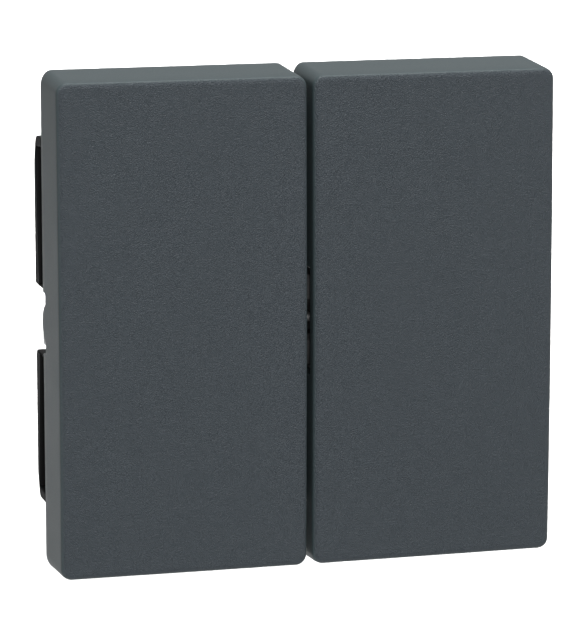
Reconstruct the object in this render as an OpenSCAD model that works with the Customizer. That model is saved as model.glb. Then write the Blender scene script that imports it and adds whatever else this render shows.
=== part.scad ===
// Flush-mounted wall switch with two spring-return rockers.
// X runs right, Y runs into the wall, Z runs up. The origin is the centre of the
// steel support plate's rear face, so Y = 0 is the wall surface.

/* [Rockers] */
// Width of the rocker pair
pair_w = 70; // [69:0.5:71]
// Height of a rocker at its front
cap_h = 68; // [67:0.5:69]
// Depth of a rocker cap from its front face to its rear rim
cap_d = 11.23; // [10.9:0.01:11.5]
// Gap between the two rockers
rocker_gap = 0.83; // [0.6:0.01:1]
// How far the top and bottom walls splay outwards at the rear rim
cap_splay = 0.7; // [0.4:0.1:0.8]
// Radius of the front edge
edge_r = 0.8; // [0.6:0.1:1]
// Radius of the four corners, seen from the front
corner_r = 1.5; // [1.2:0.1:1.8]
// Thickness of the cap's front and of its walls
cap_front_t = 2; // [1.8:0.1:2.1]
cap_wall = 1.3; // [1.1:0.05:1.35]

/* [Pivot] */
// Distance from the rockers' front face to the wall surface
front_stand = 18; // [18:0.1:18.5]
// Depth of the pivot axis behind the front face
pivot_depth = 9.1; // [9:0.05:9.2]
// Diameter of the pivot shafts
shaft_d = 2; // [1.8:0.1:2.2]
// Radial clearance of parts that turn or slide on each other
run_gap = 0.05; // [0.03:0.01:0.08]

/* [Insert] */
// Width and height of the steel support plate
plate_w = 66.3; // [66:0.1:66.4]
// Thickness of the support plate
plate_t = 1.2; // [1:0.1:1.3]
// Circle of the box screws
box_pcd = 60; // [60]
// Diameter of the box screw holes
box_hole_d = 3.6; // [3.4:0.1:3.8]
// Width, height and depth of the insert housing
base_w = 41; // [40.6:0.1:41.2]
base_h = 46; // [45.5:0.5:46.5]
base_d = 23; // [22.8:0.1:23.5]
// Diameter of a conductor entry
entry_d = 3.8; // [3.6:0.1:4]
// Spacing of the mechanisms and of the conductor entries
pitch = 11; // [11]

/* [Hidden] */
$fn = 48;
gangs = ["left", "right"];
ends = ["upper", "lower"];

front_y = -front_stand;
rim_y = front_y + cap_d;
pivot_y = front_y + pivot_depth;
slab_y = front_y + cap_front_t;
cap_in = rocker_gap / 2;
cap_out = pair_w / 2;
cap_w = cap_out - cap_in;
half_h = cap_h / 2;
ear_r = 2.7;
notch_half = 4.25;
notch_d = 1.4;
window_half = 7.5;

bar_z0 = 4.6;
bar_z1 = 25.4;
bar_rear = -1.85;
bar_t = 1.5;
bar_face = [2.6, 1];
bar_groove = 1.05;
bar_end = 0.3;
bar_tip = 1.5;
carrier_y0 = slab_y + 0.2;
carrier_t = 1.6;
carrier_half = 27;
arm_t = 1.2;

act_x = pitch;
act_w = 24;
act_xc = 17;
act_t = 2;
act_half = 14;
act_y = -11.2;
lug_r = 3;
lug_w = 3;
lug_x = [7, 27];

frame_t = 2;
frame_y = -plate_t - frame_t;
post_x = 31;
post_w = 2;
lever_arm = 10;

pin_x = 1.05;
pin_r = 0.65;
bracket_half = 1.9;
pin_gap = 0.02;
pin_end = pivot_y - 1.2;

guide_x0 = 27.5;
guide_outline = [[-4.6, -3.7], [-4.9, -3.4], [-4.9, -1.6], [-4.6, -1.2], [-3.5, -1.2],
                 [frame_y, -1.6], [frame_y, -3.3], [-3.5, -3.7]];

stem_r = 1.5;
head_r = 2.2;
collar_r = 3.4;
collar_y = -7.4;
collar_t = 0.8;
plunger_tip_y = act_y + 0.1;
plunger_end_y = 5.3;
travel_room = 0.75;

cover_t = 2.2;
floor_t = 2;
plate_notch = 0.85;
notch_w = 10;
seat_t = 0.2;
seat_gap = 0.15;
base_wall = 1.4;
base_cut = 5;

arm_y = 5.4;
strip_t = 0.6;
arm_pivot_y = 7.2;
arm_pin_r = 0.7;
contact_z = 13;
contact_r = 1.3;
fixed_y = 7.8;
rail_y = 8.4;
rail_t = 0.8;
clamp_z = 19.3;
entry_z = 17;
entry_depth = 5;

claw_screw_x = 23.9;
claw_pin_x = 26.4;
claw_pin_y = 2.2;
claw_pin_r = 0.8;
screw_r = 1.5;
cheek_z = [2.5, 4];
tab_z = [4.3, 5.2];

screw_end = 14;
screw_pos = [[17.3, 18.2], [17.3, -18.2], [-17.3, 18.2], [-17.3, -18.2]];

anthracite = [0.27, 0.29, 0.32];
black = [0.08, 0.08, 0.085];
pale = [0.86, 0.87, 0.87];
grey = [0.62, 0.64, 0.65];
clear_grey = [0.8, 0.84, 0.85];
steel = [0.72, 0.73, 0.75];
zinc = [0.66, 0.68, 0.7];
brass = [0.8, 0.65, 0.3];
copper = [0.78, 0.5, 0.36];
orange = [0.85, 0.42, 0.12];

// A box given by its lowest and highest corners
module span(lo, hi) {
    translate(lo) cube([hi[0] - lo[0], hi[1] - lo[1], hi[2] - lo[2]]);
}

// A cylinder along X from x0 to x1 at depth y and height z
module rod_x(x0, x1, y, z, r) {
    translate([x0, y, z]) rotate([0, 90, 0]) cylinder(r = r, h = x1 - x0);
}

// A cylinder along Y from y0 to y1
module rod_y(x, z, y0, y1, r) {
    translate([x, y0, z]) rotate([-90, 0, 0]) cylinder(r = r, h = y1 - y0);
}

// A cylinder along Z from z0 to z1
module rod_z(x, y, z0, z1, r) {
    translate([x, y, z0]) cylinder(r = r, h = z1 - z0);
}

// An outline of [y, z] points extruded along X from x0 to x1
module slice_x(x0, x1, points) {
    translate([x0, 0, 0]) rotate([90, 0, 90]) linear_extrude(x1 - x0) polygon(points);
}

// An outline of [x, y] points extruded along Z from z0 to z1
module slice_z(z0, z1, points) {
    translate([0, 0, z0]) linear_extrude(z1 - z0) polygon(points);
}

// The right-hand piece is drawn; the left-hand one is its mirror image
module gang(g) {
    if (g == "left") mirror([1, 0, 0]) children();
    else children();
}

// The upper piece is drawn; the lower one is its mirror image
module end(e) {
    if (e == "lower") mirror([0, 0, 1]) children();
    else children();
}

// Rounded front corner of a cap: a disc with a filleted front edge, on an axis along Y
module cap_knob(x, z) {
    small = corner_r - edge_r;
    translate([x, front_y, z]) rotate([-90, 0, 0])
        rotate_extrude() union() {
            square([small, 2 * edge_r]);
            intersection() {
                translate([small, edge_r]) circle(edge_r);
                square([corner_r, edge_r]);
            }
            translate([0, edge_r]) square([corner_r, edge_r]);
        }
}

// Outer block of a cap: filleted front edge, rounded corners, splayed top and bottom walls
module cap_block() {
    x0 = cap_in;
    x1 = cap_out;
    y1 = front_y + edge_r;
    cx = [x0 + corner_r, x1 - corner_r];
    cz = half_h - corner_r;
    slice_x(x0 + corner_r, x1 - corner_r,
            [[y1, -half_h], [rim_y, -half_h - cap_splay], [rim_y, half_h + cap_splay], [y1, half_h]]);
    span([x0, y1, -cz], [x1, rim_y, cz]);
    span([x0 + edge_r, front_y, -cz], [x1 - edge_r, y1 + 1, cz]);
    span([cx[0], front_y, edge_r - half_h], [cx[1], y1 + 1, half_h - edge_r]);
    for (s = [-1, 1]) {
        rod_x(cx[0], cx[1], y1, s * (half_h - edge_r), edge_r);
        for (x = cx) {
            cap_knob(x, s * cz);
            cap_corner(x, s);
        }
    }
    for (x = [x0 + edge_r, x1 - edge_r]) rod_z(x, y1, -cz, cz, edge_r);
}

// Wall corner behind the front edge: it leans outwards with the top or bottom wall
module cap_corner(x, s) {
    y1 = front_y + edge_r;
    z = half_h - corner_r;
    intersection() {
        union() {
            rod_y(x, s * z, y1, rim_y, corner_r);
            rod_y(x, s * (z + cap_splay), y1, rim_y, corner_r);
            span([x - corner_r, y1, s > 0 ? z - 0.1 : -z - cap_splay],
                 [x + corner_r, rim_y, s > 0 ? z + cap_splay : 0.1 - z]);
        }
        slice_x(x - 2 * corner_r, x + 2 * corner_r,
                [[y1, 0], [rim_y, 0], [rim_y, s * (half_h + cap_splay)], [y1, s * half_h]]);
    }
}

// Hollow behind the cap's front, following the splay of the walls
module cap_hollow() {
    z0 = half_h - cap_wall;
    slice_x(cap_in + cap_wall, cap_out - cap_wall,
            [[slab_y, -z0], [rim_y + 1, -z0 - cap_splay], [rim_y + 1, z0 + cap_splay], [slab_y, z0]]);
}

// Notch in the outer wall's rim, with small chamfers at its ends
module ear_notch() {
    floor_y = rim_y - notch_d;
    slice_x(cap_out - cap_wall - 0.1, cap_out + 1,
            [[rim_y + 1, -notch_half], [floor_y + 0.4, -notch_half], [floor_y, -notch_half + 0.3],
             [floor_y, notch_half - 0.3], [floor_y + 0.4, notch_half], [rim_y + 1, notch_half]]);
}

// Snap post that reaches from the cap's front through the carrier
module snap_post(x, z, s) {
    span([x - 2, slab_y, z - 0.7], [x + 2, carrier_y0 + carrier_t + 1.1, z + 0.7]);
    slice_x(x - 2, x + 2,
            [[carrier_y0 + carrier_t, z + s * 0.7], [carrier_y0 + carrier_t, z + s * 1.4],
             [carrier_y0 + carrier_t + 1.1, z + s * 0.7]]);
}

post_places = [[9, 22], [27, 22], [9, -22], [27, -22]];

module rocker_cap() {
    color(anthracite) {
        difference() {
            cap_block();
            cap_hollow();
            ear_notch();
            span([cap_in - 1, slab_y, -window_half], [cap_in + cap_wall + 0.1, rim_y + 1, window_half]);
        }
        rod_x(cap_out - cap_wall, cap_out, pivot_y, 0, ear_r);
        for (p = post_places) snap_post(p[0], p[1], sign(p[1]));
    }
}

// Side profile of one black bar: straight rear, tapered outer end, rounded corners
bar_outline = [
    [rim_y + 0.05, bar_z0], [bar_rear - 0.5, bar_z0], [bar_rear - 0.15, bar_z0 + 0.15],
    [bar_rear, bar_z0 + 0.5], [bar_rear, bar_z1 - 3.6], [bar_rear - 1, bar_z1 - 0.5],
    [bar_rear - 1.45, bar_z1 - 0.15], [bar_rear - 2.05, bar_z1], [rim_y + 0.05, bar_z1]
];

// Bar with a groove behind the skirt, closed at both ends. The lip left at the rear narrows outwards.
module side_bar() {
    slope = atan((bar_face[0] - bar_face[1]) / (bar_z1 - bar_z0));
    reach = 6;
    difference() {
        slice_x(cap_out - bar_t - 0.1, cap_out, bar_outline);
        translate([cap_out, bar_rear - bar_face[0], bar_z0]) rotate([-slope, 0, 0])
            span([-bar_groove, -reach, bar_end], [1, 0, bar_z1 - bar_z0 - bar_tip]);
    }
}

module carrier_side() {
    inner = cap_out - cap_wall - 0.2;
    side_bar();
    slice_x(inner - arm_t, inner, [[carrier_y0, bar_z0], [-4, bar_z0], [-4, bar_z1 - 3],
                                   [-5, bar_z1], [carrier_y0, bar_z1]]);
}

module carrier() {
    x0 = cap_in + 2.2;
    x1 = cap_out - cap_wall - 0.2;
    y1 = carrier_y0 + carrier_t;
    color(black) {
        difference() {
            span([x0, carrier_y0, -carrier_half], [x1, y1, carrier_half]);
            for (p = post_places) {
                span([p[0] - 2.2, carrier_y0 - 1, p[1] - 1.6], [p[0] + 2.2, y1 + 1, p[1] + 1.6]);
            }
            span([x0 + 2.6, carrier_y0 - 1, 15.2], [x1 - 3, y1 + 1, 19]);
            span([x0 + 2.6, carrier_y0 - 1, -19], [x1 - 3, y1 + 1, -15.2]);
            span([x0 + 9, carrier_y0 - 1, -6], [x1 - 9, y1 + 1, 6]);
            span([x1 - 3, carrier_y0 - 1, -bar_z0], [x1 + 1, y1 + 1, bar_z0]);
        }
        for (e = ends) end(e) carrier_side();
    }
}

// Clear guide that brings light to the notch beside the pivot ear
module light_guide() {
    color(clear_grey) slice_x(guide_x0, cap_out - 0.7, guide_outline);
}

module actuator() {
    x0 = act_xc - act_w / 2;
    x1 = act_xc + act_w / 2;
    color(pale) difference() {
        union() {
            span([x0, act_y - act_t, -act_half], [x1, act_y, act_half]);
            for (x = lug_x) {
                rod_x(x - lug_w / 2, x + lug_w / 2, pivot_y, 0, lug_r);
                span([x - lug_w / 2, act_y - 1, -lug_r], [x + lug_w / 2, pivot_y, lug_r]);
            }
            for (x = [x0 + 2.5, x1 - 2.5], z = [-12, 12])
                span([x - 2, carrier_y0 + carrier_t, z - 1.5], [x + 2, act_y - act_t + 0.1, z + 1.5]);
        }
        for (x = lug_x)
            rod_x(x - lug_w, x + lug_w, pivot_y, 0, shaft_d / 2 + run_gap);
        span([act_xc - 2, act_y - act_t - 1, -9], [act_xc + 6, act_y + 1, 9]);
    }
}

module pivot_shaft() {
    color(steel) rod_x(1.2, post_x + post_w / 2 + 0.6, pivot_y, 0, shaft_d / 2);
}

module plunger() {
    color(pale) {
        rod_y(act_x, lever_arm, plunger_tip_y + 0.6, collar_y + 0.1, head_r);
        translate([act_x, plunger_tip_y + 0.6, lever_arm]) rotate([90, 0, 0])
            cylinder(r1 = head_r, r2 = head_r - 0.9, h = 0.6);
        rod_y(act_x, lever_arm, collar_y, collar_y + collar_t, collar_r);
        rod_y(act_x, lever_arm, collar_y + collar_t - 0.1, plunger_end_y, stem_r);
    }
}

// Space of the return spring's coils round the plunger's stem
module return_spring() {
    color(steel) difference() {
        rod_y(act_x, lever_arm, collar_y + collar_t + travel_room + 0.1, frame_y, 3);
        rod_y(act_x, lever_arm, collar_y, 0, 2.2);
    }
}

module contact_arm() {
    color(copper) {
        span([act_x - 1.8, arm_y, -contact_z - contact_r], [act_x + 1.8, arm_y + strip_t, contact_z + contact_r]);
        span([act_x - 1.8, arm_y + strip_t - 0.1, -1.2], [act_x + 1.8, arm_pivot_y, 1.2]);
        rod_x(act_x - 3.6, act_x + 3.6, arm_pivot_y, 0, arm_pin_r);
        for (s = [-1, 1])
            rod_y(act_x, s * contact_z, arm_y + strip_t - 0.1, arm_y + strip_t + 0.7, contact_r);
    }
}

// Brass terminal: fixed contact, strip and the plate that the conductor is pressed on
module terminal() {
    color(brass) {
        rod_y(act_x, contact_z, fixed_y, rail_y + 0.1, contact_r);
        span([act_x - 2, rail_y, contact_z - contact_r - 0.3], [act_x + 2, rail_y + rail_t, clamp_z + 0.8]);
        span([act_x - 3, rail_y, clamp_z], [act_x + 3, rail_y + 9, clamp_z + 0.8]);
    }
}

module common_rail() {
    color(brass) {
        span([-2, rail_y, -clamp_z - 0.8], [2, rail_y + rail_t, clamp_z + 0.8]);
        span([-pitch - 3.2, rail_y, -1.5], [pitch + 3.2, rail_y + rail_t, 1.5]);
        for (s = [-1, 1]) {
            span([-3, rail_y, s > 0 ? clamp_z : -clamp_z - 0.8], [3, rail_y + 9, s > 0 ? clamp_z + 0.8 : -clamp_z]);
            for (x = [s * pitch - 2.8, s * pitch + 2.8])
                difference() {
                    span([x - 0.4, arm_pivot_y - 1.4, -1.5], [x + 0.4, rail_y + 0.1, 1.5]);
                    rod_x(x - 1, x + 1, arm_pivot_y, 0, arm_pin_r + run_gap);
                }
        }
    }
}

// Leaf spring that presses the conductor onto the terminal: foot, bend and slanted leg
module clamp_spring(i) {
    x = (i % 3 - 1) * pitch;
    color(steel) end(i < 3 ? "upper" : "lower")
        slice_x(x - 2, x + 2,
                [[17.2, 13.9], [10.2, 13.9], [9.6, 14.3], [9.6, 14.9], [10.2, 15.4],
                 [15.5, 18.9], [15.8, 18.5], [10.6, 15], [10.1, 14.7], [10.3, 14.3], [17.2, 14.3]]);
}

// Lever that frees the conductors: an inner bar and two tabs through the housing's rear
module release_lever() {
    color(orange) {
        span([-14.5, 12.4, 10.6], [14.5, 14.4, 12.9]);
        for (x = [-pitch / 2, pitch / 2])
            span([x - 2.6, 14.3, 10.6], [x + 2.6, base_d + 1.6, 12.9]);
    }
}

module support_plate() {
    color(zinc) difference() {
        union() {
            difference() {
                translate([0, 0, 0]) rotate([90, 0, 0]) linear_extrude(plate_t)
                    polygon(plate_outline());
                span([-base_w / 2 + 0.6, -plate_t - 1, -base_h / 2 + 1.2],
                     [base_w / 2 - 0.6, 1, base_h / 2 - 1.2]);
                // Shallow seats for the housing and for the claws' hinges
                base_prism(seat_gap, -seat_t, seat_t);
                span([-28.1, -seat_t, -tab_z[1] - 0.6], [28.1, seat_t, tab_z[1] + 0.6]);
            }
            for (sx = [-1, 1], sz = [-1, 1]) claw_tab(sx, sz);
        }
        for (s = [0, 1]) mirror([0, 0, s])
            span([-notch_w / 2, -plate_t - 1, plate_w / 2 - plate_notch], [notch_w / 2, 1, plate_w / 2 + 1]);
        for (a = [0:90:270])
            rod_y(box_pcd / 2 * cos(a), box_pcd / 2 * sin(a), -plate_t - 1, 1, box_hole_d / 2);
        for (s = [-1, 1]) {
            rod_y(s * claw_screw_x, 0, -plate_t - 1, 1, screw_r + 0.2);
            rod_z(s * claw_pin_x, claw_pin_y, -tab_z[1] - 1, tab_z[1] + 1, claw_pin_r);
        }
    }
}

// Square outline with cut corners
function plate_outline() = let (h = plate_w / 2, c = 6) [
    [h, h - c], [h - c, h], [c - h, h], [-h, h - c], [-h, c - h], [c - h, -h], [h - c, -h], [h, c - h]
];

// Bent tab behind the plate that holds one end of a claw's pin
module claw_tab(sx, sz) {
    lo = sz > 0 ? tab_z[0] : -tab_z[1];
    hi = sz > 0 ? tab_z[1] : -tab_z[0];
    slice_z(lo, hi, [[sx * 24.6, -seat_t - 0.1], [sx * 28.1, -seat_t - 0.1], [sx * 28.1, 2.6], [sx * 27.4, 3.8],
                     [sx * 25.4, 3.8], [sx * 24.6, 2.6]]);
}

module bearing_frame() {
    color(grey) difference() {
        union() {
            span([-post_x + 2, frame_y, -21.5], [post_x - 2, -plate_t, 21.5]);
            for (s = [-1, 1]) {
                span([s > 0 ? 27 : -post_x - post_w / 2, frame_y, -3.6],
                     [s > 0 ? post_x + post_w / 2 : -27, -plate_t, 3.6]);
                slice_x(s * post_x - post_w / 2, s * post_x + post_w / 2,
                        [[-plate_t, -3.6], [-plate_t, 3.6], [pivot_y, 2.1], [pivot_y, -2.1]]);
                rod_x(s * post_x - post_w / 2, s * post_x + post_w / 2, pivot_y, 0, 2.1);
            }
            for (p = screw_pos) rod_y(p[0], p[1], frame_y - 0.6, frame_y + 0.1, 3);
        }
        for (s = [-1, 1]) {
            rod_x(s * post_x - post_w, s * post_x + post_w, pivot_y, 0, shaft_d / 2);
            for (t = [-1, 1])
                rod_y(s * act_x, t * lever_arm, frame_y - 1, 0, stem_r + run_gap);
            rod_y(s * claw_screw_x, 0, frame_y - 1, 0, 3.2);
            slice_x(s > 0 ? guide_x0 : -post_x - 2, s > 0 ? post_x + 2 : -guide_x0, guide_outline);
            span([s * 19 - 6, frame_y - 1, -7.5], [s * 19 - 1, 0, -4.5]);
            span([s * 19 - 6, frame_y - 1, 4.5], [s * 19 - 1, 0, 7.5]);
        }
        for (p = screw_pos) rod_y(p[0], p[1], frame_y - 2, 0, 1.2);
    }
}

// Black post between the rockers: two round-nosed lobes with a recess between them
module centre_bracket() {
    lobe_y = front_y + 3;
    recess = 2;
    color(black) difference() {
        union() {
            slice_x(-bracket_half, bracket_half, [
                [frame_y, -6.2], [lobe_y + 1.4, -6.6], [lobe_y + 0.4, -6.3], [lobe_y, -5.5],
                [lobe_y, -recess - 0.9], [lobe_y + 0.8, -recess], [lobe_y + 4, -recess],
                [lobe_y + 4, recess], [lobe_y + 0.8, recess], [lobe_y, recess + 0.9],
                [lobe_y, 5.5], [lobe_y + 0.4, 6.3], [lobe_y + 1.4, 6.6], [frame_y, 6.2]
            ]);
            span([-3.4, pivot_y - 1.9, -4], [3.4, frame_y, 4]);
        }
        for (s = [0, 1]) mirror([s, 0, 0]) rod_x(1.2, 4, pivot_y, 0, shaft_d / 2);
        rod_y(pin_x, 0, pin_end - 2, pin_end, pin_r + pin_gap);
    }
}

module bracket_pin() {
    tip = front_y + 4.8;
    color(steel) {
        rod_y(pin_x, 0, tip + pin_r, pin_end - pin_gap, pin_r);
        translate([pin_x, tip + pin_r, 0]) sphere(pin_r);
    }
}

// Outline of the housing: a rectangle with cut corners, grown by g
function base_outline(g) = let (w = base_w / 2 + g, h = base_h / 2 + g, c = base_cut) [
    [w, h - c], [w - c, h], [c - w, h], [-w, h - c], [-w, c - h], [c - w, -h], [w - c, -h], [w, c - h]
];

module base_prism(g, y0, y1) {
    translate([0, y1, 0]) rotate([90, 0, 0]) linear_extrude(y1 - y0) polygon(base_outline(g));
}

module mechanism_cover() {
    color(pale) difference() {
        base_prism(-base_wall, -plate_t, cover_t - plate_t);
        for (s = [-1, 1], t = [-1, 1])
            rod_y(s * act_x, t * lever_arm, -plate_t - 1, 2, stem_r + run_gap);
        for (p = screw_pos) rod_y(p[0], p[1], -plate_t - 1, 2, 1.2);
    }
}

module base() {
    color(grey) difference() {
        union() {
            difference() {
                base_prism(0, -seat_t, base_d);
                base_prism(-base_wall, -1, base_d - floor_t);
            }
            for (s = [-1, 1]) {
                for (i = [-1:1])
                    rod_y(i * pitch, s * entry_z, base_d - entry_depth, base_d - 0.1, entry_d / 2 + 0.9);
                for (i = [-1:1])
                    span([i * pitch - 2.2, 9.4, s > 0 ? 13.1 : -13.8], [i * pitch + 2.2, base_d - 1, s > 0 ? 13.8 : -13.1]);
                span([s * 5.5 - 0.5, 9.6, -8.5], [s * 5.5 + 0.5, base_d - 1, 8.5]);
            }
            for (p = screw_pos) rod_y(p[0], p[1], cover_t - plate_t, base_d - 1, 2.2);
        }
        for (i = [-1:1], s = [-1, 1])
            rod_y(i * pitch, s * entry_z, base_d - entry_depth - 1, base_d + 1, entry_d / 2);
        for (p = screw_pos) rod_y(p[0], p[1], -seat_t - 0.1, screw_end, 1.2);
        for (x = [-pitch / 2, pitch / 2], s = [-1, 1])
            span([x - 2.8, base_d - 4, s > 0 ? 10.4 : -13.1], [x + 2.8, base_d + 1, s > 0 ? 13.1 : -10.4]);
    }
}

module assembly_screws() {
    color(steel) for (p = screw_pos) difference() {
        union() {
            rod_y(p[0], p[1], frame_y - 2, frame_y - 0.6, 2.2);
            rod_y(p[0], p[1], frame_y - 0.7, screw_end - 0.2, 1.2);
        }
        span([p[0] - 1.8, frame_y - 2.1, p[1] - 0.3], [p[0] + 1.8, frame_y - 1.3, p[1] + 0.3]);
        span([p[0] - 0.3, frame_y - 2.1, p[1] - 1.8], [p[0] + 0.3, frame_y - 1.3, p[1] + 1.8]);
    }
}

module claw_screw() {
    head_y = -plate_t - 2;
    color(steel) difference() {
        union() {
            rod_y(claw_screw_x, 0, head_y, -plate_t - run_gap, 2.7);
            rod_y(claw_screw_x, 0, -plate_t - 0.1, 17.5, screw_r);
        }
        span([claw_screw_x - 3, head_y - 0.1, -0.4], [claw_screw_x + 3, head_y + 0.9, 0.4]);
    }
}

module claw_nut() {
    color(brass) difference() {
        span([claw_screw_x - 2.3, 12, -3.7], [claw_screw_x + 2.3, 15, 3.7]);
        rod_y(claw_screw_x, 0, 11, 16, screw_r + run_gap);
    }
}

module claw_pin() {
    color(steel) rod_z(claw_pin_x, claw_pin_y, -tab_z[1] - 0.4, tab_z[1] + 0.4, claw_pin_r);
}

// Spreading claw: an outer web with a toothed tip and two wedge-shaped cheeks
module claw() {
    color(zinc) difference() {
        union() {
            slice_z(-cheek_z[1], cheek_z[1],
                    [[27.9, 4.2], [27.9, 13.6], [28.7, 14.6], [27.9, 14.8], [28.6, 15.8], [27, 15.8], [27, 4.2]]);
            for (s = [-1, 1]) {
                lo = s > 0 ? cheek_z[0] : -cheek_z[1];
                hi = s > 0 ? cheek_z[1] : -cheek_z[0];
                slice_z(lo, hi, [[27.9, 3.4], [27.9, 15], [26.5, 15], [26.5, 12], [24.7, 7.6], [24.9, 2.6],
                                 [claw_pin_x, claw_pin_y]]);
                rod_z(claw_pin_x, claw_pin_y, lo, hi, 1.6);
            }
        }
        rod_z(claw_pin_x, claw_pin_y, -6, 6, claw_pin_r + run_gap);
    }
}

for (g = gangs) gang(g) {
    rocker_cap();
    carrier();
    light_guide();
    actuator();
    pivot_shaft();
    contact_arm();
    claw();
    claw_screw();
    claw_nut();
    claw_pin();
    for (e = ends) end(e) {
        plunger();
        return_spring();
        terminal();
    }
}
for (i = [1:6])
    clamp_spring(i - 1);
for (e = ends)
    end(e) release_lever();
centre_bracket();
bracket_pin();
bearing_frame();
support_plate();
mechanism_cover();
base();
common_rail();
assembly_screws();
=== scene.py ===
import itertools
import math
import bmesh
import bpy
import mathutils
import numpy as np
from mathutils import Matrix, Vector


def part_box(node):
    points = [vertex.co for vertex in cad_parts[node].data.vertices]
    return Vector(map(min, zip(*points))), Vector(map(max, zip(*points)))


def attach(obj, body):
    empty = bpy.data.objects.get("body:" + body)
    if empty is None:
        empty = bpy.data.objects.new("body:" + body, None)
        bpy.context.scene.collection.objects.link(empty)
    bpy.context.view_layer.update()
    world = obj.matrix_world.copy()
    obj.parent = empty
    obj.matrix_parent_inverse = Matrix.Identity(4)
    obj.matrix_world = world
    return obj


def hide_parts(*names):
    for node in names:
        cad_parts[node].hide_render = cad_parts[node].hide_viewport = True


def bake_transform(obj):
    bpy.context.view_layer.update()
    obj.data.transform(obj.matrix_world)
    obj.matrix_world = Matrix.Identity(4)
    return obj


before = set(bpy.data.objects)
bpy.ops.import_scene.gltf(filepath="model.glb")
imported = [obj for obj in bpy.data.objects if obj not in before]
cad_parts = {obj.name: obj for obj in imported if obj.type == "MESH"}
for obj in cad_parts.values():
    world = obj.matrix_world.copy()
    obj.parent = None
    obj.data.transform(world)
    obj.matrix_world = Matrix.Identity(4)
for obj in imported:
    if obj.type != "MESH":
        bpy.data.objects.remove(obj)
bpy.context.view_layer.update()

mm = 0.001

# ---------------------------------------------------------------- camera and studio
# A long lens half a metre out, to the left of the switch and a little above it. The studio is a
# pale floor in an even white surround, with three soft lights: one overhead, one in front of the
# switch, and one that lights the floor behind it.
pair_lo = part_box("left_rocker_cap")[0]
pair_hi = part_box("right_rocker_cap")[1]
front_y = pair_lo[1]
focal_length = 206.3
camera_left = 133.5 * mm
camera_ahead = 469.25 * mm
camera_above = 90.4 * mm
look_down = 10.387
look_right = 15.587

camera_data = bpy.data.cameras.new("studio_camera")
camera_data.lens = focal_length
camera = bpy.data.objects.new("studio_camera", camera_data)
camera.location = (-camera_left, front_y - camera_ahead, camera_above)
camera.rotation_euler = (math.radians(90 - look_down), 0, math.radians(-look_right))
bpy.context.collection.objects.link(camera)
bpy.context.scene.camera = camera
bpy.context.scene.view_settings.view_transform = "Standard"


def soft_light(name, place, target, width, depth, power, spread=180):
    """An area light of width by depth at place, turned to face target. The beam opens over spread."""
    lamp = bpy.data.lights.new(name, "AREA")
    lamp.shape = "RECTANGLE"
    lamp.size = width
    lamp.size_y = depth
    lamp.energy = power
    lamp.spread = math.radians(spread)
    holder = bpy.data.objects.new(name, lamp)
    aim = mathutils.Vector(target) - mathutils.Vector(place)
    holder.location = place
    holder.rotation_euler = aim.to_track_quat("-Z", "Y").to_euler()
    bpy.context.collection.objects.link(holder)
    return holder


switch_centre = (0, 0, 0)
soft_light("overhead_softbox", (0.1, -0.08, 0.9), switch_centre, width=0.3, depth=0.3, power=12.5)
soft_light("front_softbox", (-0.22, -1.28, 0.22), switch_centre, width=0.4, depth=0.4, power=16.5)
backdrop = soft_light("backdrop_softbox", (0.48, 1.5, 0.95), (0.48, 1.5, -1),
                      width=0.8, depth=1.9, power=27, spread=60)
backdrop_turn = 15.9
backdrop.rotation_euler = (0, 0, math.radians(-backdrop_turn))

surround_strength = 0.6
world = bpy.data.worlds.new("white_surround")
bpy.context.scene.world = world
world.use_nodes = True
world.node_tree.nodes["Background"].inputs["Color"].default_value = (1, 1, 1, 1)
world.node_tree.nodes["Background"].inputs["Strength"].default_value = surround_strength


# ---------------------------------------------------------------- rocker caps
# Two moulded caps in anthracite plastic. The front has a fine blasted grain and a shallow crown;
# the walls are smooth. The rim has a notch with the pivot ear on the outer side, and a window for
# the centre bracket on the inner side. Four posts on the back clip into the carrier.
cap_half_h = 34.0 * mm
edge_radius = 0.8 * mm
corner_radius = 1.5 * mm
cap_depth = 11.23 * mm
cap_wall = 1.3 * mm
slab = 2.0 * mm
splay = 0.7 * mm
crown_z = 0.383 * mm
crown_x = 0.245 * mm
pivot_depth = 9.1 * mm
ear_radius = 2.7 * mm
notch_half = 4.25 * mm
notch_floor = 9.83 * mm
notch_bevel = 0.3 * mm
notch_rise = 0.4 * mm
window_half = 7.5 * mm
window_lip = 0.3 * mm
side_band = 0.9 * mm
rim_round = 0.18 * mm
grid_step = 0.9 * mm
back_margin = 6 * mm


def stations(half, marks, step):
    """Places from -half to half: close together near the ends, no further apart than step."""
    near = np.array([0, 0.1, 0.2, 0.32, 0.45, 0.58, 0.7, 0.9, 1.2, 1.6]) * mm
    near_end = 2.0 * mm
    inner = np.arange(near_end, half, step)
    right = half - np.concatenate([near, inner])
    right = right[right > step / 3]
    every = np.concatenate([right, -right, [0.0], marks])
    every = np.unique(np.round(every, 7))
    closest = 0.02 * mm
    keep = np.concatenate([[True], np.diff(every) > closest])
    return every[keep]


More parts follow.
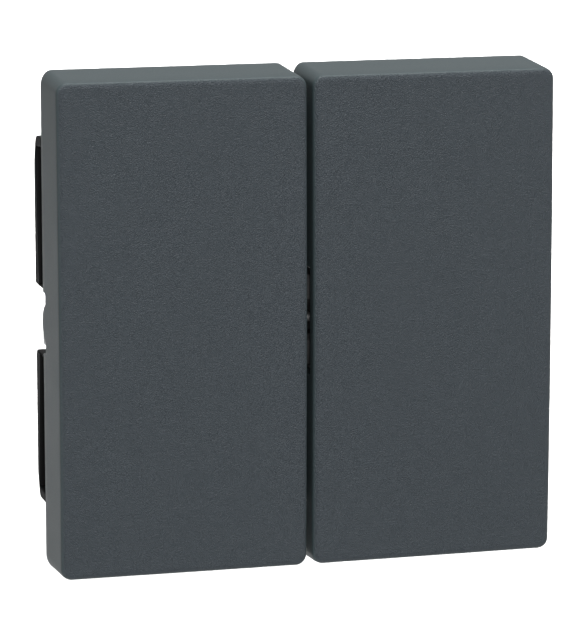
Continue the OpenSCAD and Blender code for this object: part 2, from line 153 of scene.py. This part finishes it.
def rounded_patch(xs, zs, radius):
    """Grid xs by zs whose outline is a rectangle with rounded corners.

    Each node at distances a and b from the two nearest sides, with both under radius, moves to a
    circle round the corner's centre: its radius is radius - min(a, b), and its angle runs from the
    diagonal to the side as the difference of a and b grows to that radius."""
    x, z = np.meshgrid(xs, zs, indexing="ij")
    middle = (xs[0] + xs[-1]) / 2
    a = xs[-1] - np.abs(x - middle) - middle
    b = zs[-1] - np.abs(z)
    near = np.minimum(a, b)
    ring = np.maximum(radius - near, 1e-9)
    part = np.clip(np.abs(a - b) / ring, 0, 1)
    angle = math.pi / 4 * (1 - part)
    inside = (np.maximum(a, b) < radius) & (near < radius)
    along = radius - ring * np.cos(angle)
    across = radius - ring * np.sin(angle)
    a_new = np.where(inside, np.where(a < b, along, across), a)
    b_new = np.where(inside, np.where(a < b, across, along), b)
    x_new = x + np.sign(x - middle) * (a - a_new)
    z_new = z + np.sign(z) * (b - b_new)
    return x_new, z_new


def rim_depth(x, z, inner, outer):
    """Depth of the rim: full, but for the ear in its notch outside and the window inside.

    The ear is a circle of ear_radius round the pivot. The notch's floor rises at each end by
    notch_rise over notch_bevel. Both reach side_band in from the side."""
    height = np.abs(z)
    bevel = np.clip((height - notch_half + notch_bevel) / notch_bevel, 0, 1) * notch_rise
    notch = np.where(height < notch_half, notch_floor + bevel, cap_depth)
    ear = pivot_depth + np.sqrt(np.maximum(ear_radius**2 - z**2, 0))
    outside = np.where(height < ear_radius, np.maximum(notch, ear), notch)
    inside = np.where(height < window_half, slab + window_lip, cap_depth)
    inner_or_full = np.where(x < inner + side_band, inside, cap_depth)
    return np.where(x > outer - side_band, outside, inner_or_full)


def box_shell(lo, hi):
    """Vertices and faces of a closed box between two corners."""
    corners = np.array(list(itertools.product(*zip(lo, hi))))
    quads = np.array([[0, 1, 3, 2], [4, 6, 7, 5], [0, 4, 5, 1], [2, 3, 7, 6], [0, 2, 6, 4], [1, 5, 7, 3]])
    return corners, quads


def join_shells(shells):
    """Several (vertices, quads) pairs as one: each one's faces count on from the vertices before."""
    vertices = np.concatenate([v for v, _ in shells])
    offsets = np.cumsum([0] + [len(v) for v, _ in shells[:-1]])
    return vertices, np.concatenate([q + o for (_, q), o in zip(shells, offsets)])


def make_piece(name, vertices, quads, body, material, sharp=35):
    """A mesh object with outward faces, smooth but for edges of more than sharp degrees."""
    mesh = bpy.data.meshes.new(name)
    mesh.from_pydata(vertices.tolist(), [], quads.tolist())
    fixed = bmesh.new()
    fixed.from_mesh(mesh)
    bmesh.ops.remove_doubles(fixed, verts=fixed.verts, dist=1e-6)
    bmesh.ops.recalc_face_normals(fixed, faces=fixed.faces)
    fixed.to_mesh(mesh)
    fixed.free()
    mesh.shade_smooth()
    mesh.set_sharp_from_angle(angle=math.radians(sharp))
    mesh.materials.append(material)
    piece = bpy.data.objects.new(name, mesh)
    bpy.context.collection.objects.link(piece)
    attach(piece, body)
    return piece


def cap_shell(inner, outer):
    """One closed shell: front patch, filleted edge, walls, rim, inner walls and the slab's back.

    The patch's border is carried outwards by the fillet's sine and back by 1 - cosine, then along
    the wall to the rim's depth at each place, round the rim, and back inside. The crown's depth is
    crown_z times (z / half height) squared plus crown_x times (x / the pair's half width) squared,
    fading to nothing at the rim. Each ring is a tuple: how far out from the patch's border, how
    deep, how far it leans outwards up and down, and its share of the crown."""
    half_w = (outer - inner) / 2
    middle = (outer + inner) / 2
    front_half_w = half_w - edge_radius
    front_half_h = cap_half_h - edge_radius
    ear_marks = np.arange(0, 2.9, 0.18) * mm
    notch_marks = notch_half + np.array([-1.05, -0.65, -0.35, -0.31, -0.28, -0.15, -0.01, 0.02, 0.25]) * mm
    window_marks = window_half + np.array([-0.2, -0.02, 0.02, 0.2]) * mm
    marks = np.concatenate([ear_marks, notch_marks, window_marks])
    xs = middle + stations(front_half_w, [], grid_step)
    zs = stations(front_half_h, np.concatenate([marks, -marks]), grid_step)
    small = corner_radius - edge_radius
    px, pz = rounded_patch(xs, zs, small)
    nx, nz = px.shape
    border = np.concatenate([
        np.stack([np.arange(nx - 1), np.zeros(nx - 1, int)], 1),
        np.stack([np.full(nz - 1, nx - 1), np.arange(nz - 1)], 1),
        np.stack([np.arange(nx - 1, 0, -1), np.full(nx - 1, nz - 1)], 1),
        np.stack([np.zeros(nz - 1, int), np.arange(nz - 1, 0, -1)], 1)])
    bx = px[border[:, 0], border[:, 1]]
    bz = pz[border[:, 0], border[:, 1]]
    core_x = np.clip(bx, xs[0] + small, xs[-1] - small)
    core_z = np.clip(bz, zs[0] + small, zs[-1] - small)
    length = np.maximum(np.hypot(bx - core_x, bz - core_z), 1e-9)
    out_x = (bx - core_x) / length
    out_z = (bz - core_z) / length

    rings = []
    for turn in np.radians(np.arange(11.25, 90.1, 11.25)):
        rings.append((edge_radius * np.sin(turn), edge_radius * (1 - np.cos(turn)), 0.0, 1.0))
    rim = rim_depth(bx + edge_radius * out_x, bz, inner, outer)
    for part in (0.08, 0.3, 0.6, 0.85, 1.0):
        depth = edge_radius + (rim - rim_round - edge_radius) * part
        rings.append((edge_radius, depth, splay * depth / cap_depth, 1 - part))
    for turn in np.radians([30, 60, 90]):
        depth = rim - rim_round + rim_round * np.sin(turn)
        rings.append((edge_radius - rim_round * (1 - np.cos(turn)), depth, splay * depth / cap_depth, 0.0))
    inner_step = cap_wall - edge_radius
    for turn in np.radians([90, 60, 30, 0]):
        depth = rim - rim_round + rim_round * np.sin(turn)
        rings.append((-inner_step + rim_round * (1 - np.cos(turn)), depth, splay * depth / cap_depth, 0.0))
    for part in (0.4, 0.75):
        depth = rim - rim_round + (slab - rim + rim_round) * part
        rings.append((-inner_step, depth, splay * depth / cap_depth, 0.0))

    def crown(x, z):
        return crown_z * (z / cap_half_h) ** 2 + crown_x * (x / pair_hi[0]) ** 2

    patch = np.stack([px, front_y + crown(px, pz), pz], -1).reshape(-1, 3)
    points = [patch]
    for grow, depth, lean, fade in rings:
        x = bx + grow * out_x
        z = bz + grow * out_z
        y = front_y + depth + fade * crown(x, z)
        points.append(np.stack([x, y, z + lean * out_z], -1))
    pull = np.clip(1 - (xs[-1] - middle - np.abs(px - middle)) / back_margin, 0, 1)
    lift = np.clip(1 - (zs[-1] - np.abs(pz)) / back_margin, 0, 1)
    back_x = px - np.sign(px - middle) * inner_step * pull
    back_z = pz - np.sign(pz) * inner_step * lift
    back_y = np.full(px.shape, front_y + slab)
    points.append(np.stack([back_x, back_y, back_z], -1).reshape(-1, 3))

    grid = np.arange(nx * nz).reshape(nx, nz)
    front = np.stack([grid[:-1, :-1], grid[1:, :-1], grid[1:, 1:], grid[:-1, 1:]], -1).reshape(-1, 4)
    first = grid[border[:, 0], border[:, 1]]
    count = len(border)
    loops = [first] + [nx * nz + i * count + np.arange(count) for i in range(len(rings))]
    last = nx * nz + len(rings) * count
    loops.append(last + first)
    quads = [front, last + front[:, ::-1]]
    for a, b in zip(loops[:-1], loops[1:]):
        quads.append(np.stack([a, np.roll(a, -1), np.roll(b, -1), b], -1))
    return np.concatenate(points), np.concatenate(quads)


class Value:
    """A shader node's output. Sums, differences and products of values add Math nodes."""

    def __init__(self, tree, socket=None):
        self.tree = tree
        self.socket = socket

    def node(self, kind, settings, inputs, output=0):
        """Any node: its settings are set first, then the values or links of its sockets."""
        made = self.tree.nodes.new(kind)
        for key, setting in settings.items():
            setattr(made, key, setting)
        for key, given in inputs.items():
            if isinstance(given, Value):
                self.tree.links.new(given.socket, made.inputs[key])
            else:
                made.inputs[key].default_value = given
        return Value(self.tree, made.outputs[output]) if len(made.outputs) else None

    def math(self, operation, first, second):
        return self.node("ShaderNodeMath", {"operation": operation}, {0: first, 1: second})

    def __add__(self, other):
        return self.math("ADD", self, other)

    def __radd__(self, other):
        return self.math("ADD", other, self)

    def __sub__(self, other):
        return self.math("SUBTRACT", self, other)

    def __rsub__(self, other):
        return self.math("SUBTRACT", other, self)

    def __mul__(self, other):
        return self.math("MULTIPLY", self, other)

    def __rmul__(self, other):
        return self.math("MULTIPLY", other, self)


def new_material(name):
    """A material, its empty node tree as a Value to build on, and its object coordinates."""
    material = bpy.data.materials.new(name)
    material.use_nodes = True
    material.node_tree.nodes.clear()
    start = Value(material.node_tree)
    coords = start.node("ShaderNodeTexCoord", {}, {}, "Object")
    return material, start, coords


def shade(start, inputs):
    """A Principled surface with these sockets, linked to the material's output."""
    surface = start.node("ShaderNodeBsdfPrincipled", {}, inputs)
    start.node("ShaderNodeOutputMaterial", {}, {"Surface": surface})


def mix_colour(start, factor, first, second):
    """Colour between first and second by factor. A Mix node takes colours at its sockets 6 and 7,
    and gives one at its output 2."""
    sockets = {"Factor": factor, 6: first, 7: second}
    return start.node("ShaderNodeMix", {"data_type": "RGBA"}, sockets, 2)


def grained_plastic():
    """Anthracite plastic: a blasted grain where the surface faces forwards, smooth on the walls."""
    material, start, coords = new_material("grained_anthracite")
    normal = start.node("ShaderNodeNewGeometry", {}, {}, "Normal")
    facing = start.node("ShaderNodeSeparateXYZ", {}, {"Vector": normal}, "Y")
    front = start.node("ShaderNodeMapRange", {}, {
        "Value": facing, "From Min": -0.5, "From Max": -0.9, "To Min": 0.0, "To Max": 1.0})
    cells = start.node("ShaderNodeTexVoronoi", {"feature": "SMOOTH_F1"},
                       {"Vector": coords, "Scale": 6600.0, "Smoothness": 0.5}, "Distance")
    fine = start.node("ShaderNodeTexNoise", {}, {"Vector": coords, "Scale": 6200.0, "Detail": 1.0}, "Fac")
    broad = start.node("ShaderNodeTexNoise", {}, {"Vector": coords, "Scale": 700.0, "Detail": 2.0}, "Fac")
    relief = (cells * 0.8 + fine * 0.9 + broad * 0.1) * (front * 0.93 + 0.07)
    bump = start.node("ShaderNodeBump", {}, {"Strength": 1.0, "Distance": 0.00024, "Height": relief})
    walls = mix_colour(start, broad, (0.024, 0.035, 0.038, 1), (0.027, 0.039, 0.042, 1))
    face = mix_colour(start, fine, (0.0210, 0.0275, 0.0330, 1), (0.0285, 0.0365, 0.0432, 1))
    tone = mix_colour(start, front, walls, face)
    shade(start, {"Base Color": tone, "Roughness": front * 0.06 + 0.5 + (fine - 0.5) * 0.08,
                  "Specular IOR Level": 0.3, "Normal": bump})
    return material


anthracite = grained_plastic()
post_x = (9 * mm, 27 * mm)
post_z = 22 * mm
post_half_w = 2 * mm
post_half_t = 0.7 * mm
post_root = 0.2 * mm
post_back = front_y + 4.9 * mm
for side in ("left", "right"):
    lo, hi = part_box(f"{side}_rocker_cap")
    sign = -1 if side == "left" else 1
    inner_x = min(abs(lo[0]), abs(hi[0]))
    outer_x = max(abs(lo[0]), abs(hi[0]))
    shells = [cap_shell(inner_x, outer_x)]
    for x in post_x:
        for z in (-post_z, post_z):
            shells.append(box_shell((x - post_half_w, front_y + slab - post_root, z - post_half_t),
                                    (x + post_half_w, post_back, z + post_half_t)))
    vertices, quads = join_shells(shells)
    vertices[:, 0] *= sign
    cap = make_piece(f"{side}_rocker_shell", vertices, quads, f"{side}_rocker", anthracite)
    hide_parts(f"{side}_rocker_cap")


# ---------------------------------------------------------------- carriers
# Each cap is clipped to a black polyamide carrier, one moulding each. Its side bars stand out
# behind the skirt, above and below the pivot, with a groove behind the rim that is closed at the
# bars' ends.
flat_angle = math.radians(1)
rounded_angle = math.radians(32)


def dressed(node, body, material, edge, segments=2):
    """A copy of a CAD node: its loose triangles are merged, flat neighbours are joined to one face,
    and every edge sharper than rounded_angle is rounded to a radius of edge."""
    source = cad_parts[node].data
    places = np.empty(len(source.vertices) * 3)
    source.vertices.foreach_get("co", places)
    corners = np.empty(len(source.loops), int)
    source.loops.foreach_get("vertex_index", corners)
    piece = make_piece(f"{node}_detail", places.reshape(-1, 3), corners.reshape(-1, 3), body, material)
    flat = bmesh.new()
    flat.from_mesh(piece.data)
    bmesh.ops.dissolve_limit(flat, angle_limit=flat_angle, verts=flat.verts, edges=flat.edges)
    flat.to_mesh(piece.data)
    flat.free()
    rounding = piece.modifiers.new("rounded_edges", "BEVEL")
    rounding.width = edge
    rounding.segments = segments
    rounding.limit_method = "ANGLE"
    rounding.angle_limit = rounded_angle
    rounding.harden_normals = True
    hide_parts(node)
    return piece


def moulded(name, dark, light, roughness, grain, relief, gloss=0.5):
    """Moulded plastic: two close tones in soft flow marks, and a fine die texture in the bump, its
    scale grain and its depth relief."""
    material, start, coords = new_material(name)
    flow = start.node("ShaderNodeTexNoise", {}, {
        "Vector": coords, "Scale": 140.0, "Detail": 3.0, "Distortion": 1.2}, "Fac")
    die = start.node("ShaderNodeTexNoise", {}, {"Vector": coords, "Scale": grain, "Detail": 3.0}, "Fac")
    bump = start.node("ShaderNodeBump", {}, {"Strength": 0.3, "Distance": relief, "Height": die + flow * 0.4})
    shade(start, {"Base Color": mix_colour(start, flow, (*dark, 1), (*light, 1)),
                  "Roughness": roughness + (die - 0.5) * 0.16, "Specular IOR Level": gloss, "Normal": bump})
    return material


black_polyamide = moulded("black_polyamide", (0.0010, 0.0010, 0.0011), (0.0018, 0.0018, 0.0019),
                          roughness=0.6, grain=2200.0, relief=0.00005, gloss=0.08)
for side in ("left", "right"):
    dressed(f"{side}_carrier", f"{side}_rocker", black_polyamide,
            edge=0.22 * mm, segments=3)


# ---------------------------------------------------------------- light guides
# A clear polycarbonate strip leads an indicator's light to the notch behind each pivot ear. Its
# outer end is frosted, and it is pressed into the bearing frame.
def frosted_guide():
    """Frosted clear plastic: part of the light passes, with a pale haze whose noise also drives the bump."""
    material, start, coords = new_material("frosted_guide")
    haze = start.node("ShaderNodeTexNoise", {}, {"Vector": coords, "Scale": 900.0, "Detail": 4.0}, "Fac")
    bump = start.node("ShaderNodeBump", {}, {"Strength": 0.25, "Distance": 0.00006, "Height": haze})
    shade(start, {"Base Color": mix_colour(start, haze, (0.42, 0.43, 0.43, 1), (0.56, 0.57, 0.57, 1)),
                  "Roughness": 0.3 + haze * 0.2, "Transmission Weight": 0.35, "IOR": 1.49, "Normal": bump})
    return material


clear_guide = frosted_guide()
for side in ("left", "right"):
    dressed(f"{side}_light_guide", "insert", clear_guide, edge=0.15 * mm, segments=3)


# ---------------------------------------------------------------- actuators and plungers
# A pale acetal rocker under each carrier presses two plungers, one at each end. They are natural
# coloured for low friction, and the plungers have a domed head, a collar and a slim stem.
acetal = moulded("natural_acetal", (0.66, 0.66, 0.63), (0.74, 0.74, 0.71),
                 roughness=0.38, grain=1500.0, relief=0.00003)
for side in ("left", "right"):
    dressed(f"{side}_actuator", f"{side}_rocker", acetal, edge=0.25 * mm, segments=3)
    for end in ("upper", "lower"):
        plunger = f"{side}_{end}_plunger"
        dressed(plunger, plunger, acetal, edge=0.12 * mm)


# ---------------------------------------------------------------- return springs
# Each plunger is pushed back by a small spring of stainless wire, wound round its stem between the
# plunger's collar and the bearing frame. The end turns are closed.
def metal(name, dark, light, roughness, relief, grain=900.0, stretch=(1, 1, 1)):
    """Metal: tone and roughness follow a noise that stretch draws out into drawn or rolled lines."""
    material, start, coords = new_material(name)
    drawn = start.node("ShaderNodeMapping", {}, {"Vector": coords, "Scale": stretch})
    lines = start.node("ShaderNodeTexNoise", {}, {"Vector": drawn, "Scale": grain, "Detail": 4.0}, "Fac")
    stain = start.node("ShaderNodeTexNoise", {}, {"Vector": coords, "Scale": 160.0, "Detail": 3.0}, "Fac")
    bump = start.node("ShaderNodeBump", {}, {"Strength": 0.25, "Distance": relief, "Height": lines})
    shade(start, {"Base Color": mix_colour(start, lines * 0.6 + stain * 0.4, (*dark, 1), (*light, 1)),
                  "Metallic": 1.0, "Roughness": roughness + (stain - 0.5) * 0.2, "Normal": bump})
    return material


spring_wire = metal("spring_wire", (0.36, 0.36, 0.36), (0.62, 0.62, 0.61), roughness=0.28, relief=0.00002)


def swept(centres, across, up, profile, scale):
    """A profile carried along a path, closed at both ends: point (i, j) is centre i, plus across i and
    up i times the two coordinates of profile point j, times scale i, which is 0 at the ends."""
    flat = profile[None, :, :] * scale[:, None, None]
    points = centres[:, None, :] + flat[..., 0:1] * across[:, None, :] + flat[..., 1:2] * up[:, None, :]
    count = len(profile)
    grid = np.arange(len(centres) * count).reshape(len(centres), count)
    around = np.roll(grid, -1, axis=1)
    quads = np.stack([grid[:-1], around[:-1], around[1:], grid[1:]], -1).reshape(-1, 4)
    return points.reshape(-1, 3), quads


def helix(centre_x, centre_z, radius, turn, along):
    """Centres, radial vectors and binormals of a helix about Y: a circle of radius, at each angle of
    turn, carried to the place along."""
    radial = np.stack([np.cos(turn), np.zeros_like(turn), np.sin(turn)], -1)
    axis = np.stack([np.full_like(turn, centre_x), along, np.full_like(turn, centre_z)], -1)
    centres = radial * radius + axis
    tangent = np.gradient(centres, axis=0)
    tangent /= np.linalg.norm(tangent, axis=1)[:, None]
    return centres, radial, np.cross(tangent, radial)


def ring_profile(radius, count):
    """A circle's points: the cosine and sine of equal angles, times its radius."""
    angle = np.arange(count) * 2 * math.pi / count
    return np.stack([np.cos(angle), np.sin(angle)], -1) * radius


spring_turns = 4.5
closed_turns = 0.6
wire_radius = 0.19 * mm
start_lift = 0.6 * wire_radius
wire_sides = 10
coil_radius = 2.6 * mm
coil_points = 220
collar_back = front_y + 11.4 * mm
for side in ("left", "right"):
    for end in ("upper", "lower"):
        lo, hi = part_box(f"{side}_{end}_spring")
        seat = collar_back + wire_radius
        rest = hi[1] - wire_radius
        turn = np.linspace(0, spring_turns * 2 * math.pi, coil_points)
        wound = turn / (2 * math.pi)
        share = np.clip((wound - closed_turns) / (spring_turns - 2 * closed_turns), 0, 1)
        lift = start_lift * np.clip(closed_turns - wound, 0, 1)
        along = seat + (rest - seat) * share + lift
        ends = np.sqrt(np.clip(np.minimum(turn, turn[::-1]) * coil_radius / wire_radius, 0, 1))
        path = helix((lo[0] + hi[0]) / 2, (lo[2] + hi[2]) / 2, coil_radius, turn, along)
        coil = swept(*path, ring_profile(wire_radius, wire_sides), ends)
        spring = make_piece(f"{side}_{end}_coil", *coil, "insert", spring_wire, sharp=60)
        spring.parent = None
        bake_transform(spring)
        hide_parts(f"{side}_{end}_spring")


# ---------------------------------------------------------------- pivots and the centre bracket
# Two ground steel shafts carry the rockers between the frame's posts and a black bracket in the
# middle. The bracket's two lobes show in the gap, with a small domed pin of blued steel between.
ground_steel = metal("ground_steel", (0.42, 0.43, 0.44), (0.68, 0.69, 0.70),
                     roughness=0.22, relief=0.00001, grain=1400.0, stretch=(0.1, 1, 1))
blued_pin = metal("blued_pin", (0.16, 0.162, 0.164), (0.22, 0.222, 0.225), roughness=0.65, relief=0.00001)
for side in ("left", "right"):
    dressed(f"{side}_pivot_shaft", "insert", ground_steel, edge=0.15 * mm)
dressed("bracket_pin", "insert", blued_pin, edge=0.05 * mm)
satin_black = moulded("satin_black", (0.007, 0.0072, 0.0075), (0.010, 0.0102, 0.0105),
                      roughness=0.6, grain=2200.0, relief=0.00005, gloss=0.2)
dressed("centre_bracket", "insert", satin_black, edge=0.25 * mm, segments=3)


# ---------------------------------------------------------------- bearing frame, base and cover
# The insert's body is grey glass-filled plastic: a frame in front of the support plate with the
# bearing posts, and a deep base behind it, closed by a pale cover round the plungers.
grey_body = moulded("glass_filled_grey", (0.30, 0.31, 0.315), (0.37, 0.38, 0.385),
                    roughness=0.52, grain=1300.0, relief=0.00006)
pale_cover = moulded("pale_cover", (0.60, 0.61, 0.61), (0.68, 0.69, 0.69),
                     roughness=0.45, grain=1500.0, relief=0.00004)
dressed("bearing_frame", "insert", grey_body, edge=0.25 * mm, segments=3)
dressed("base", "insert", grey_body, edge=0.3 * mm, segments=3)
dressed("mechanism_cover", "insert", pale_cover, edge=0.15 * mm)


# ---------------------------------------------------------------- support plate and claws
# The plate is stamped from zinc-plated sheet. The spreading claws are stamped too, and swing on
# pins in the plate's bent tabs when their screws pull the brass nuts forwards.
def zinc_plate():
    """Zinc plating: pale crystals of slightly different tones, a soft mottle and fine scratches."""
    material, start, coords = new_material("zinc_plate")
    crystals = start.node("ShaderNodeTexVoronoi", {}, {"Vector": coords, "Scale": 420.0}, "Color")
    tone = start.node("ShaderNodeSeparateXYZ", {}, {"Vector": crystals}, "X")
    mottle = start.node("ShaderNodeTexNoise", {}, {"Vector": coords, "Scale": 90.0, "Detail": 4.0}, "Fac")
    drawn = start.node("ShaderNodeMapping", {}, {"Vector": coords, "Scale": (1.0, 1.0, 0.04)})
    scratch = start.node("ShaderNodeTexNoise", {}, {"Vector": drawn, "Scale": 2600.0, "Detail": 2.0}, "Fac")
    bump = start.node("ShaderNodeBump", {}, {
        "Strength": 0.2, "Distance": 0.00002, "Height": scratch + tone * 0.3})
    shine = mix_colour(start, tone * 0.5 + mottle * 0.5, (0.46, 0.47, 0.49, 1), (0.66, 0.67, 0.68, 1))
    shade(start, {"Base Color": shine, "Metallic": 0.95,
                  "Roughness": 0.34 + tone * 0.1 + (mottle - 0.5) * 0.2, "Normal": bump})
    return material


zinc = zinc_plate()
dressed("support_plate", "insert", zinc, edge=0.18 * mm, segments=3)
for side in ("left", "right"):
    dressed(f"{side}_claw", f"{side}_claw", zinc, edge=0.12 * mm)
    dressed(f"{side}_claw_pin", "insert", ground_steel, edge=0.12 * mm)


# ---------------------------------------------------------------- screws and nuts
# The claw screws have a rolled M3 thread that draws a brass nut. Four thread-forming screws hold
# the frame, the plate and the base together. Heads are slotted or crossed, as struck.
rolled_brass = metal("rolled_brass", (0.62, 0.44, 0.17), (0.82, 0.62, 0.28),
                     roughness=0.3, relief=0.00002, grain=1000.0, stretch=(0.15, 1, 1))
plated_screw = metal("plated_screw", (0.50, 0.51, 0.53), (0.72, 0.73, 0.75), roughness=0.3, relief=0.00001)
thread_depth = 0.3 * mm
thread_steps = 26
start_run = 2.5
tip_taper = 0.4
radius_slack = 0.05 * mm
start_slack = 0.02 * mm
thread_ridge = np.array([[-0.12, -0.46], [0, -0.40], [1, -0.06], [1, 0.06], [0, 0.40], [-0.12, 0.46]])


def threaded(node, body, axes, major, shank_start, pitch):
    """A screw from its CAD node: the shank, past shank_start, is drawn in to the thread's root, and a
    ridge like a blunt triangle winds along it, about Y through each of axes, up to the major radius.
    The ridge grows over its first start_run radians, and fades over start_run / tip_taper at the tip."""
    screw = dressed(node, body, plated_screw, edge=0.08 * mm)
    mesh = screw.data
    places = np.empty(len(mesh.vertices) * 3)
    mesh.vertices.foreach_get("co", places)
    places = places.reshape(-1, 3)
    end = places[:, 1].max()
    for x, z in axes:
        off = places[:, [0, 2]] - (x, z)
        reach = np.hypot(off[:, 0], off[:, 1])
        shank = (reach < major + radius_slack) & (places[:, 1] > shank_start - start_slack)
        drawn = 1 - thread_depth / major * shank
        places[:, 0] = x + off[:, 0] * drawn
        places[:, 2] = z + off[:, 1] * drawn
    mesh.vertices.foreach_set("co", places.ravel())
    turns = (end - shank_start - pitch) / pitch
    turn = np.linspace(0, turns * 2 * math.pi, int(turns * thread_steps))
    along = shank_start + pitch * 0.5 + pitch * turn / (2 * math.pi)
    scale = np.clip(np.minimum(turn, turn[::-1] * tip_taper) / start_run, 0, 1)
    ridge = thread_ridge * (thread_depth, pitch)
    shells = []
    for x, z in axes:
        shells.append(swept(*helix(x, z, major - thread_depth, turn, along), ridge, scale))
    thread = make_piece(f"{node}_thread", *join_shells(shells), body, plated_screw, sharp=25)


plate_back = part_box("support_plate")[1][1]
for side in ("left", "right"):
    lo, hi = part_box(f"{side}_claw_screw")
    threaded(f"{side}_claw_screw", f"{side}_claw_screw", [((lo[0] + hi[0]) / 2, 0)],
             major=1.5 * mm, shank_start=plate_back, pitch=0.5 * mm)
    dressed(f"{side}_claw_nut", f"{side}_claw_nut", rolled_brass, edge=0.15 * mm)
lo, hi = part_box("assembly_screws")
head_radius = 2.2 * mm
across = (lo[0] + head_radius, hi[0] - head_radius)
upright = (lo[2] + head_radius, hi[2] - head_radius)
threaded("assembly_screws", "insert", list(itertools.product(across, upright)),
         major=1.2 * mm, shank_start=-2.6 * mm, pitch=0.8 * mm)


# ---------------------------------------------------------------- contacts and terminals
# Copper see-saw arms with riveted contacts tip on pillars of the brass live rail. The output
# terminals are brass strip, and stainless clamp springs grip the conductors.
arm_copper = metal("arm_copper", (0.60, 0.30, 0.17), (0.80, 0.46, 0.30),
                   roughness=0.3, relief=0.00002, grain=1000.0, stretch=(1, 1, 0.12))
clamp_springs = 6
dressed("common_rail", "insert", rolled_brass, edge=0.1 * mm)
for side in ("left", "right"):
    dressed(f"{side}_contact_arm", f"{side}_contact", arm_copper, edge=0.08 * mm)
    for end in ("upper", "lower"):
        dressed(f"{side}_{end}_terminal", "insert", rolled_brass, edge=0.1 * mm)
for number in range(1, clamp_springs + 1):
    dressed(f"clamp_spring_{number}", "insert", spring_wire, edge=0.06 * mm)


# ---------------------------------------------------------------- release levers
# Two orange levers stand out at the rear, one for each row of terminals. Pushing one in frees the
# conductors. They are moulded in a tough plastic with a ribbed thumb face.
orange = moulded("orange_lever", (0.60, 0.16, 0.015), (0.70, 0.21, 0.025),
                 roughness=0.42, grain=1600.0, relief=0.00004)
for end in ("upper", "lower"):
    dressed(f"{end}_release_lever", f"{end}_release", orange,
            edge=0.18 * mm, segments=3)


# ---------------------------------------------------------------- floor
# A pale matt studio floor, well below the switch, which stands in the air as if screwed to a box.
floor_half = 4.0
floor_z = -0.16
floor_corners = [(x * floor_half, y * floor_half, floor_z) for x, y in ((-1, -1), (1, -1), (1, 1), (-1, 1))]
floor_mesh = bpy.data.meshes.new("studio_floor")
floor_mesh.from_pydata(floor_corners, [], [(0, 1, 2, 3)])
floor = bpy.data.objects.new("studio_floor", floor_mesh)
bpy.context.collection.objects.link(floor)
pale_floor, start, coords = new_material("pale_floor")
sweep = start.node("ShaderNodeTexNoise", {}, {"Vector": coords, "Scale": 3.0, "Detail": 2.0}, "Fac")
shade(start, {"Base Color": mix_colour(start, sweep, (0.49, 0.49, 0.49, 1), (0.51, 0.51, 0.51, 1)),
              "Roughness": 0.9, "Specular IOR Level": 0.1})
floor_mesh.materials.append(pale_floor)
